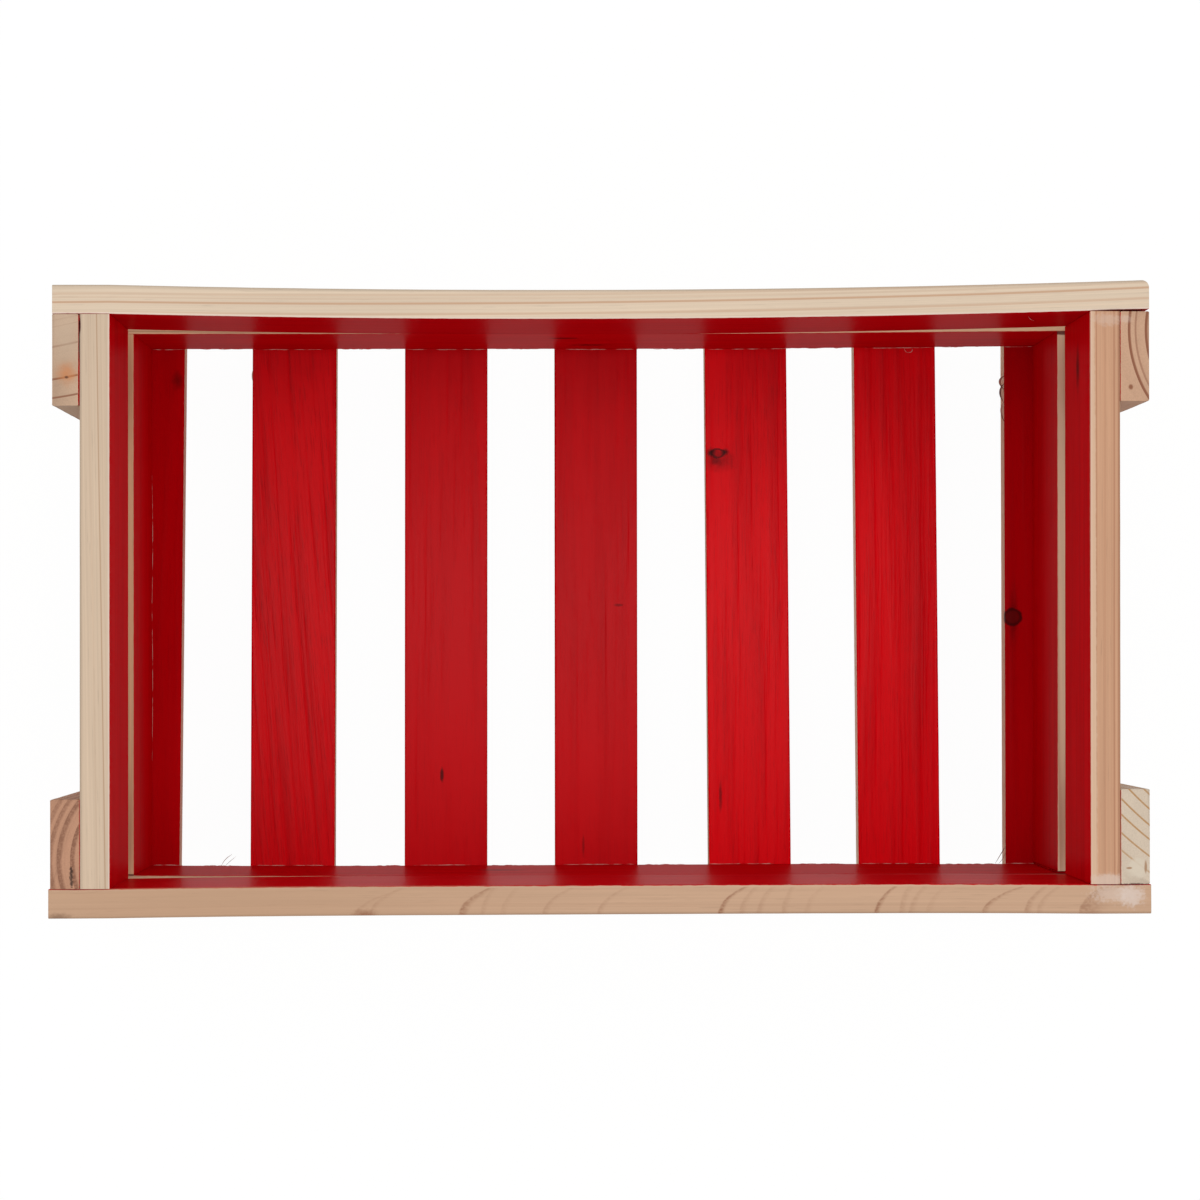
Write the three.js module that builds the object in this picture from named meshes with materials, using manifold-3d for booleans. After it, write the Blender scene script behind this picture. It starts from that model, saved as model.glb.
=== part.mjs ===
// A slatted pine bottle crate: four stapled corners, two boards a side and a floor of spaced slats.
// Millimetres, +X along the crate, +Y to its back, +Z up. The origin is under the middle of the floor.

import * as THREE from 'three';
import { mergeVertices } from 'three/addons/utils/BufferGeometryUtils.js';
import Module from 'manifold-3d';

// Overall plan of the crate, over the outer faces of the long boards.
const crateLength = 450;
const crateWidth = 258.6;

// Planed stock. Every piece is sawn from boards about 12 mm thick.
const sideThickness = 12;
const endThickness = 12;
const postThickness = 12;
const slatThickness = 12;
const lowerHeight = 70;
const sideGap = 20;
const upperHeight = 64;
const slatWidth = 37;
const easedEdge = 0.8;

// The corner posts as sawn: their width across the end of the crate, how much thinner than the rest one was
// planed, and how far it was set in from the outer face of its end frame.
const postCuts = {
  front_left: { width: 36.4, skim: 0, setback: 0 },
  front_right: { width: 39, skim: 0, setback: 0 },
  back_left: { width: 37.5, skim: 1.2, setback: 0.8 },
  back_right: { width: 37, skim: 0, setback: 0 },
};

// How each end frame was made and set down: how much thicker its boards are than the rest, its drift outwards, its
// turn in degrees, seen from above, and how far its front and its back end run past the straight inner faces of the
// long boards.
const endSettings = {
  left: { stout: 0.25, drift: 0, turn: 0, front: 0, back: 0 },
  right: { stout: 0.35, drift: 0.25, turn: -0.26, front: -0.1, back: 1 },
};

// How each long board was cut and has dried: how much longer than the crate it is, its drift along X, how far its
// middle stands into the crate, the power of that curve, how far its right end is pushed out, the share of the way
// to the right end frame where this starts, and the radius of a knocked corner there.
const boardBows = {
  front_lower: { extra: 1, drift: -0.25, depth: -0.6, power: 4, lift: 0.95, from: 0.5, knock: 0 },
  front_upper: { extra: 1, drift: -0.25, depth: 0.7, power: 4, lift: 0, from: 1, knock: 0 },
  back_lower: { extra: 0, drift: 0, depth: 0, power: 2, lift: 1.1, from: 0.3, knock: 0 },
  back_upper: { extra: 0, drift: 0.8, depth: 2.7, power: 2, lift: 1.1, from: -1, knock: 3 },
};
const bowSteps = 14;

// How each floor slat was cut and set down, from left to right: how much wider it is than the usual width, its
// drift along X from an even spacing, and its turn in degrees, seen from above.
const slatSettings = [
  { extra: 0.2, drift: 0.8, turn: -0.64 },
  { extra: 1.1, drift: 1.15, turn: -0.3 },
  { extra: 0.5, drift: 1.65, turn: -0.15 },
  { extra: 0.6, drift: 1.15, turn: -0.1 },
  { extra: 0.3, drift: 1.6, turn: 0.3 },
  { extra: 0.2, drift: 1, turn: 0.3 },
  { extra: -0.4, drift: 0, turn: -0.1 },
];
const slatSetback = 0.5;

// Wire staples with chisel points, sunk a little below the wood.
const stapleCrown = 10;
const wireThickness = 1;
const wireWidth = 1.25;
const crownRadius = 1.2;
const chiselLength = 2;
const crownSink = 0.5;
const stapleBite = 13;
const pointCover = 2;
const stapleClearance = 0.3;
const stapleEdgeDistance = 16;

// Heights above the ground.
const slatTop = slatThickness;
const lowerTop = slatTop + lowerHeight;
const upperBottom = lowerTop + sideGap;
const rimHeight = upperBottom + upperHeight;

// Faces and centre lines in plan.
const halfLength = crateLength / 2;
const halfWidth = crateWidth / 2;
const sideInnerY = halfWidth - sideThickness;
const sideMiddleY = halfWidth - sideThickness / 2;
const postInnerX = halfLength - postThickness;
const endMiddleX = postInnerX - endThickness / 2;
const endInnerX = postInnerX - endThickness;
const endLength = 2 * sideInnerY;
const postHeight = rimHeight - slatTop;
const slatLength = crateWidth - 2 * slatSetback;
const slatPitch = (crateLength - slatWidth) / (slatSettings.length - 1);

// Lengths of the staple legs that hold the long boards and the slats.
const sideLeg = sideThickness - crownSink + stapleBite;
const slatLeg = slatThickness - crownSink + stapleBite;

const pineColour = new THREE.Color(0.8, 0.68, 0.55);
const stainColour = new THREE.Color(0.6, 0.04, 0.05);
const steelColour = new THREE.Color(0.62, 0.62, 0.6);

const crate = new THREE.Group();
const boards = {};

const wasm = await Module();
wasm.setup();

function finish(colour, roughness, metalness) {
  return new THREE.MeshStandardMaterial({ color: colour, roughness, metalness, flatShading: true });
}

// A post's sizes, and the places of its middle and of its outer face from the middle of its end frame.
function postFit(side, end) {
  const { width, skim, setback } = postCuts[`${side}_${end}`];
  const thickness = postThickness - skim;
  const outer = halfLength - endMiddleX - setback;
  const middleY = sideInnerY + endSettings[end][side] - width / 2;
  return { width, thickness, outer, middleX: outer - thickness / 2, middleY };
}

// How far a long board stands into the crate at a place along it. It lies flat on its posts, but a lifted
// right end runs on along its curve.
function bowAt({ depth, power, lift, from }, x) {
  const share = x / endInnerX;
  const flat = share < -1 || (share > 1 && lift === 0);
  const lifted = share > from ? (lift * (share - from)) / (1 - from) : 0;
  return flat ? 0 : depth * (1 - Math.abs(share) ** power) - lifted;
}

// Places along a long board where its outline turns.
function bowPlaces({ depth, lift, from }) {
  const even = Array.from({ length: bowSteps + 1 }, (_, i) => endInnerX * ((2 * i) / bowSteps - 1));
  const between = depth === 0 ? [endInnerX * from] : even;
  const beyond = lift === 0 ? [] : [postInnerX, postInnerX + postThickness / 2];
  return depth === 0 && lift === 0 ? [] : [...between, ...beyond];
}

const straight = { places: [], swayAt: () => 0, knock: 0 };

// Plan of a piece of wood with its standing edges taken off. It sways along Y by the given function, and its
// right back corner may be knocked round.
function plankOutline(sizeX, sizeY, { places, swayAt, knock }) {
  const x = sizeX / 2;
  const y = sizeY / 2;
  const rightSway = swayAt(x);
  const shape = new THREE.Shape();
  shape.moveTo(-x + easedEdge, -y);
  for (const place of places) {
    shape.lineTo(place, -y + swayAt(place));
  }
  shape.lineTo(x - easedEdge, -y + rightSway);
  shape.lineTo(x, -y + easedEdge + rightSway);
  if (knock > 0) {
    shape.absarc(x - knock, y - knock + rightSway, knock, 0, Math.PI / 2, false);
  } else {
    shape.lineTo(x, y - easedEdge + rightSway);
    shape.lineTo(x - easedEdge, y + rightSway);
  }
  for (const place of places.toReversed()) {
    shape.lineTo(place, y + swayAt(place));
  }
  shape.lineTo(-x + easedEdge, y);
  shape.lineTo(-x, y - easedEdge);
  shape.lineTo(-x, -y + easedEdge);
  shape.closePath();
  return shape;
}

// A piece of wood standing on z = 0, with all its edges eased.
function plank(sizeX, sizeY, height, sway = straight) {
  const geometry = new THREE.ExtrudeGeometry(plankOutline(sizeX, sizeY, sway), {
    curveSegments: 4,
    depth: height - 2 * easedEdge,
    bevelThickness: easedEdge,
    bevelSize: easedEdge,
    bevelOffset: -easedEdge,
    bevelSegments: 1,
  });
  return geometry.translate(0, 0, easedEdge);
}

function addBoard(name, geometry, colour, parent, x, y, z) {
  const mesh = new THREE.Mesh(geometry, finish(colour, 0.6, 0));
  mesh.name = name;
  mesh.position.set(x, y, z);
  parent.add(mesh);
  boards[name] = mesh;
}

// The bent wire in its own plane: the crown lies along X below the wood's surface at y = 0, and the
// legs run along +Y to slanting points.
function stapleOutline(leg) {
  const half = stapleCrown / 2;
  const inner = half - wireThickness;
  const tip = crownSink + leg;
  const shape = new THREE.Shape();
  shape.moveTo(-half + crownRadius, crownSink);
  shape.lineTo(half - crownRadius, crownSink);
  shape.absarc(half - crownRadius, crownSink + crownRadius, crownRadius, -Math.PI / 2, 0, false);
  shape.lineTo(half, tip);
  shape.lineTo(inner, tip - chiselLength);
  shape.lineTo(inner, crownSink + wireThickness);
  shape.lineTo(-inner, crownSink + wireThickness);
  shape.lineTo(-inner, tip - chiselLength);
  shape.lineTo(-half, tip);
  shape.lineTo(-half, crownSink + crownRadius);
  shape.absarc(-half + crownRadius, crownSink + crownRadius, crownRadius, Math.PI, 1.5 * Math.PI, false);
  return shape;
}

// The slot that a staple sits in, open at the wood's surface, with room all round the wire.
function pocketOutline(leg) {
  const outer = stapleCrown / 2 + stapleClearance;
  const inner = stapleCrown / 2 - wireThickness - stapleClearance;
  const floor = crownSink + wireThickness + stapleClearance;
  const tip = crownSink + leg + stapleClearance;
  const mouth = -wireThickness;
  const shape = new THREE.Shape();
  shape.moveTo(-outer, mouth);
  shape.lineTo(outer, mouth);
  shape.lineTo(outer, tip);
  shape.lineTo(inner, tip);
  shape.lineTo(inner, floor);
  shape.lineTo(-inner, floor);
  shape.lineTo(-inner, tip);
  shape.lineTo(-outer, tip);
  shape.closePath();
  return shape;
}

function wireBlank(shape, width) {
  const blank = new THREE.ExtrudeGeometry(shape, { depth: width, bevelEnabled: false, curveSegments: 2 });
  return blank.translate(0, 0, -width / 2);
}

// A closed three.js geometry as a solid that can be cut.
function toSolid(geometry) {
  const bare = geometry.clone();
  bare.deleteAttribute('normal');
  bare.deleteAttribute('uv');
  const merged = mergeVertices(bare);
  return new wasm.Manifold(new wasm.Mesh({
    numProp: 3,
    vertProperties: new Float32Array(merged.attributes.position.array),
    triVerts: new Uint32Array(merged.index.array),
  }));
}

function toGeometry(solid) {
  const { vertProperties, triVerts } = solid.getMesh();
  const geometry = new THREE.BufferGeometry();
  geometry.setAttribute('position', new THREE.BufferAttribute(vertProperties, 3));
  geometry.setIndex(new THREE.BufferAttribute(triVerts, 1));
  return geometry;
}

// Takes a staple's pocket out of a board, in the board's own frame.
function cutPocket(board, staple, leg) {
  board.updateWorldMatrix(true, false);
  staple.updateWorldMatrix(true, false);
  const toBoard = board.matrixWorld.clone().invert().multiply(staple.matrixWorld);
  const pocket = wireBlank(pocketOutline(leg), wireWidth + 2 * stapleClearance).applyMatrix4(toBoard);
  board.geometry = toGeometry(toSolid(board.geometry).subtract(toSolid(pocket)));
}

// Drives a staple into the wood at a place on its surface, through the first board into the second.
function addStaple(name, parent, place, crown, drive, leg, through) {
  const mesh = new THREE.Mesh(wireBlank(stapleOutline(leg), wireWidth), finish(steelColour, 0.35, 0.9));
  const across = new THREE.Vector3().crossVectors(crown, drive);
  mesh.name = name;
  mesh.position.copy(place);
  mesh.quaternion.setFromRotationMatrix(new THREE.Matrix4().makeBasis(crown, drive, across));
  parent.add(mesh);
  for (const board of through) {
    cutPocket(boards[board], mesh, leg);
  }
}

const sides = [{ side: 'front', ySign: -1 }, { side: 'back', ySign: 1 }];
const ends = [{ end: 'left', xSign: -1 }, { end: 'right', xSign: 1 }];
const levels = [
  { level: 'lower', bottom: slatTop, height: lowerHeight },
  { level: 'upper', bottom: upperBottom, height: upperHeight },
];

// Two boards on each long side, over the full length, each with its own bow.
for (const { side, ySign } of sides) {
  for (const { level, bottom, height } of levels) {
    const bow = boardBows[`${side}_${level}`];
    const sway = {
      places: bowPlaces(bow).map((x) => x - bow.drift),
      swayAt: (x) => -ySign * bowAt(bow, x + bow.drift),
      knock: bow.knock,
    };
    const geometry = plank(crateLength + bow.extra, sideThickness, height, sway);
    addBoard(`${side}_${level}_board`, geometry, pineColour, crate, bow.drift, ySign * sideMiddleY, bottom);
  }
}

// The two end frames, each of two boards behind two corner posts, turned on the middle of its boards.
const endFrames = {};
for (const { end, xSign } of ends) {
  const { stout, drift, turn, front, back } = endSettings[end];
  const endFrame = new THREE.Group();
  endFrame.position.x = xSign * (endMiddleX + drift);
  endFrame.rotation.z = THREE.MathUtils.degToRad(turn);
  crate.add(endFrame);
  endFrames[end] = endFrame;
  for (const { level, bottom, height } of levels) {
    const geometry = plank(endThickness + stout, endLength + front + back, height);
    const x = (-xSign * stout) / 2;
    addBoard(`${end}_${level}_end_board`, geometry, pineColour, endFrame, x, (back - front) / 2, bottom);
  }
  for (const { side, ySign } of sides) {
    const { width, thickness, middleX, middleY } = postFit(side, end);
    const geometry = plank(thickness, width, postHeight);
    addBoard(`${side}_${end}_post`, geometry, pineColour, endFrame, xSign * middleX, ySign * middleY, slatTop);
  }
}

const alongX = new THREE.Vector3(1, 0, 0);
const alongY = new THREE.Vector3(0, 1, 0);
const alongZ = new THREE.Vector3(0, 0, 1);

// The floor slats, each turned on its own middle with the two staples that hold it from below.
slatSettings.forEach(({ extra, drift, turn }, index) => {
  const number = index + 1;
  const slat = new THREE.Group();
  slat.position.x = -halfLength + slatWidth / 2 + index * slatPitch + drift;
  slat.rotation.z = THREE.MathUtils.degToRad(turn);
  crate.add(slat);
  const name = `bottom_slat_${number}`;
  addBoard(name, plank(slatWidth + extra, slatLength, slatThickness), stainColour, slat, 0, 0, 0);
  for (const { side, ySign } of sides) {
    const place = new THREE.Vector3(0, ySign * sideMiddleY, 0);
    const through = [name, `${side}_lower_board`];
    addStaple(`slat_${number}_${side}_staple`, slat, place, alongX, alongZ, slatLeg, through);
  }
});

// Staples through the long boards into the edges of the posts, two in each board end.
for (const { side, ySign } of sides) {
  for (const { end, xSign } of ends) {
    const postEnd = new THREE.Vector3(xSign * postFit(side, end).middleX, ySign * sideInnerY, 0);
    const { x } = endFrames[end].localToWorld(postEnd);
    for (const { level, bottom, height } of levels) {
      const y = ySign * (halfWidth - bowAt(boardBows[`${side}_${level}`], x));
      const heights = { low: bottom + stapleEdgeDistance, high: bottom + height - stapleEdgeDistance };
      for (const [where, z] of Object.entries(heights)) {
        const place = new THREE.Vector3(x, y, z);
        const drive = alongY.clone().multiplyScalar(-ySign);
        const through = [`${side}_${level}_board`, `${side}_${end}_post`];
        addStaple(`${side}_${level}_${end}_staple_${where}`, crate, place, alongZ, drive, sideLeg, through);
      }
    }
  }
}

// Staples through the posts into the end boards, one at each crossing.
for (const { end, xSign } of ends) {
  for (const { level, bottom, height } of levels) {
    for (const { side, ySign } of sides) {
      const { outer, middleY } = postFit(side, end);
      const leg = outer + endThickness / 2 - pointCover - crownSink;
      const place = new THREE.Vector3(xSign * outer, ySign * middleY, bottom + height / 2);
      const drive = alongX.clone().multiplyScalar(-xSign);
      const through = [`${side}_${end}_post`, `${end}_${level}_end_board`];
      addStaple(`${end}_${level}_end_${side}_staple`, endFrames[end], place, alongY, drive, leg, through);
    }
  }
}

export default crate;
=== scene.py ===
"""Looks of a slatted pine bottle crate, bare outside and stained red inside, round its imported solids."""

import math
from dataclasses import dataclass

import bpy
import numpy as np
from bpy.props import FloatProperty, FloatVectorProperty, IntProperty, PointerProperty
from mathutils import Matrix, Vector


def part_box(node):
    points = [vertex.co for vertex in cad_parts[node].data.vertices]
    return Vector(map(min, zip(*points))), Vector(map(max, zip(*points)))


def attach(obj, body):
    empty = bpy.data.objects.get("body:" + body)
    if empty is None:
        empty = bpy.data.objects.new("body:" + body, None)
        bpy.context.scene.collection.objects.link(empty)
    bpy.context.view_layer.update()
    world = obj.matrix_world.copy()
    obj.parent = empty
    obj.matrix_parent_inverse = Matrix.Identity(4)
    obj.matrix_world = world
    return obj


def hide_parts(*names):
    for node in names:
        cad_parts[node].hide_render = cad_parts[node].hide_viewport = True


bl_info = {
    "name": "Pine bottle crate",
    "version": (1, 0, 0),
    "blender": (4, 5, 0),
    "location": "3D View > Sidebar > Crate",
    "description": "Dresses the crate's boards, posts, slats and staples and sets its stage",
    "category": "Object",
}

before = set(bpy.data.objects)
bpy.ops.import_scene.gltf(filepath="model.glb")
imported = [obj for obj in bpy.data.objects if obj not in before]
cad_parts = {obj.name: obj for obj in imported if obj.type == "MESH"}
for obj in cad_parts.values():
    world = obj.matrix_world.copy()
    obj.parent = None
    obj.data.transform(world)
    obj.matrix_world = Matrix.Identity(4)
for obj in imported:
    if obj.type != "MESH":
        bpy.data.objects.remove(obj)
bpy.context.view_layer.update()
MM = 0.001
CAMERA_ANGLES = (1.0204, -1.3615, -0.1425)


def shade(red, green, blue):
    """Linear colour of a display colour on the 0 to 255 scale: each level goes through the sRGB curve."""
    level = np.array((red, green, blue)) / 255
    linear = np.where(level <= 0.04045, level / 12.92, ((level + 0.055) / 1.055) ** 2.4)
    return tuple(float(value) for value in linear)


def length_value(name, description, default):
    """A length that can be changed in the panel, in metres."""
    return FloatProperty(name=name, description=description, default=default, unit="LENGTH")


def share_value(name, description, default):
    """A share from 0 to 1 that can be changed in the panel."""
    return FloatProperty(name=name, description=description, default=default, subtype="FACTOR")


def colour_value(name, description, *levels):
    """A colour that can be changed in the panel, given by its display levels."""
    return FloatVectorProperty(
        name=name, description=description, default=shade(*levels), subtype="COLOR", size=3, min=0, max=1
    )


class CrateBoards(bpy.types.PropertyGroup):
    """Sizes of the planed boards and of the dents that the staples press into them."""

    arris: length_value("Arris", "Largest radius of a sanded long edge", 1.0 * MM)
    end_ease: length_value("End ease", "Radius of the sanded sawn ends", 0.25 * MM)
    unevenness: length_value("Unevenness", "Depth of the planing waves on broad faces", 0.06 * MM)
    station: length_value("Station", "Spacing of the grid along a board", 1.4 * MM)
    face_step: length_value("Face step", "Spacing of the grid across a board", 3.0 * MM)
    arc_steps: IntProperty(name="Arc steps", description="Grid steps round a sanded edge", default=4)
    dent_depth: length_value("Dent depth", "Depth of the dent that a staple's crown lies in", 1.6 * MM)
    dent_clearance: length_value("Dent clearance", "Room left round a staple's crown", 0.2 * MM)


class CrateFinish(bpy.types.PropertyGroup):
    """Colours and gloss of the red stain, the glue and the staples."""

    red: colour_value("Red", "Stain where the wood took it evenly", 199, 0, 12)
    deep_red: colour_value("Deep red", "Stain where the wood drank more of it", 146, 0, 8)
    bleed: length_value("Bleed", "How far the stain runs over an edge", 0.14 * MM)
    stain_roughness: share_value("Stain roughness", "Roughness of the stained faces", 0.5)
    bare_roughness: share_value("Bare roughness", "Roughness of bare pine", 0.68)
    stain_specular: share_value("Stain specular", "Specular level of the stained faces", 0.0)
    bare_specular: share_value("Bare specular", "Specular level of bare pine", 0.2)
    seal: share_value("Seal", "Weight of the thin sealed film on the stain", 0.041)
    seal_roughness: share_value("Seal roughness", "Roughness of the film on the floor", 0.22)
    wall_roughness: share_value("Wall roughness", "Roughness of the film on the walls", 0.3)
    glue: colour_value("Glue", "Dried glue and raised fibre in the joints", 214, 168, 158)
    steel: colour_value("Steel", "Zinc-coated staple wire", 176, 176, 178)


class CrateStage(bpy.types.PropertyGroup):
    """Camera, lamps and floor."""

    camera_place: FloatVectorProperty(
        name="Camera place", description="Where the camera hangs over the crate",
        default=(-32.78 * MM, -24.13 * MM, 1516.15 * MM), subtype="TRANSLATION", size=3,
    )
    camera_turn: FloatVectorProperty(
        name="Camera turn", description="Turns about X, then Y, then Z, away from straight down",
        default=[math.radians(angle) for angle in CAMERA_ANGLES], subtype="EULER", size=3,
    )
    lens: FloatProperty(name="Lens", description="Focal length in millimetres", default=99.0)
    sky: FloatProperty(name="Sky", description="Strength of the even light all round", default=0.78)
    lamp_height: length_value("Lamp height", "Height of the soft lamp over the floor", 2.4)
    lamp_width: length_value("Lamp width", "Length of the soft lamp along the crate", 0.8)
    lamp_depth: length_value("Lamp depth", "Width of the soft lamp across the crate", 0.22)
    lamp_power: FloatProperty(
        name="Lamp power", description="Power of the soft lamp", default=11.0, unit="POWER"
    )
    floor_width: length_value("Floor width", "Side of the square floor", 12.0)
    floor_white: share_value("Floor white", "Share of plain white in the floor that is seen", 0.95)


@dataclass(frozen=True)
class Mark:
    """A board's knot, fleck, smear or patch of painted light or shade: an ellipsoid in the crate's frame, in
    millimetres.
    """

    place: tuple
    reach: tuple
    colour: tuple
    strength: float = 1.0
    softness: float = 0.3
    ragged: float = 0.25
    grit: float = 420.0
    rim: float = 0.0
    swirl: float = 0.0


@dataclass(frozen=True)
class Ring:
    """A listed growth ring: its distance from the pith and how far it fades, in millimetres."""

    reach: float
    fade: float = 0.5
    strength: float = 0.7


@dataclass(frozen=True)
class Arc:
    """A growth ring cut across the front rim, in millimetres.

    place is where it meets the outer edge, and run how much further along it meets the inner edge.
    """

    place: float
    run: float
    strength: float
    fade: float = 3.0


@dataclass(frozen=True)
class Bow:
    """How a long board is bent, in millimetres.

    depth is how far its middle stands in, power the power of the curve, lift how far its right end is
    pushed out, start the share of the way to the right end frame where that begins, and knock the radius
    of its knocked corner.
    """

    depth: float = 0.0
    power: int = 4
    lift: float = 0.0
    start: float = -1.0
    knock: float = 0.0


@dataclass(frozen=True)
class Pine:
    """How a board lay in its tree and how it is coloured. Lengths are in millimetres.

    pith is the middle of the growth rings, across and inward from the board's centre, and lean its slope
    along the board. ring, share and strength describe the even rings, wander how far they stray, rings and
    arcs those given one by one, and dotted how broken those are. red, film and bleed scale the stain's
    colour, gloss and reach over the edge; on the back upper board and the two outermost slats red also
    darkens the stain as painted shade. glint is the strength of a painted highlight along the lip beside
    the stain, narrow the tone of the two narrow faces, which darkens them as painted shade, and ragged
    how splintered the edges are.
    """

    pale: tuple
    late: tuple
    ring: float = 4.5
    share: float = 0.4
    strength: float = 0.7
    pith: tuple = (0, -70)
    lean: tuple = (0.004, 0.01)
    wander: float = 1.0
    rings: tuple = ()
    arcs: tuple = ()
    dotted: float = 0.0
    streak: float = 0.5
    red: float = 1.0
    film: float = 1.0
    bleed: float = 1.0
    glint: float = 0.0
    narrow: float = 1.0
    ragged: float = 0.0
    marks: tuple = ()


CREAM = shade(219, 198, 174)
CREAM_LINE = shade(198, 158, 128)
TAN = shade(199, 162, 133)
TAN_LINE = shade(150, 104, 78)
PINKISH = shade(206, 163, 133)
PINKISH_LINE = shade(168, 114, 86)
KNOT_RED = shade(88, 6, 10)
KNOT_DARK = shade(58, 8, 10)
SMEAR = shade(217, 195, 180)
# Painted shade of a slit between two boards: a dark red line.
SLIT_SHADE = shade(86, 8, 16)
JOINT_RED = shade(168, 78, 76)
WHITISH = shade(220, 203, 192)
# Painted highlight along the lip beside the stain.
LIP_HIGHLIGHT = shade(245, 225, 220)
# A pale pink band along the lower inner edge of the front upper board.
PALE_PINK = shade(206, 132, 130)
# Painted shade for the slats' back ends.
BACK_SHADE_RED = shade(112, 0, 6)
# Painted light for the slats' front ends.
FRONT_LIGHT_RED = shade(240, 24, 32)


def back_end_shade(place, reach=34, strength=0.3):
    """Painted shade over a slat's back end, where the back wall shades it: a deeper red."""
    return Mark((place, 124, 12), (40, reach, 1.5), BACK_SHADE_RED, strength, 1.0, 0.3, 60)


def front_end_light(place, strength):
    """Painted light towards a slat's front end: a paler red."""
    return Mark((place, -74, 12), (40, 40, 1.5), FRONT_LIGHT_RED, strength, 1.0, 0.3, 60)


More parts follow.
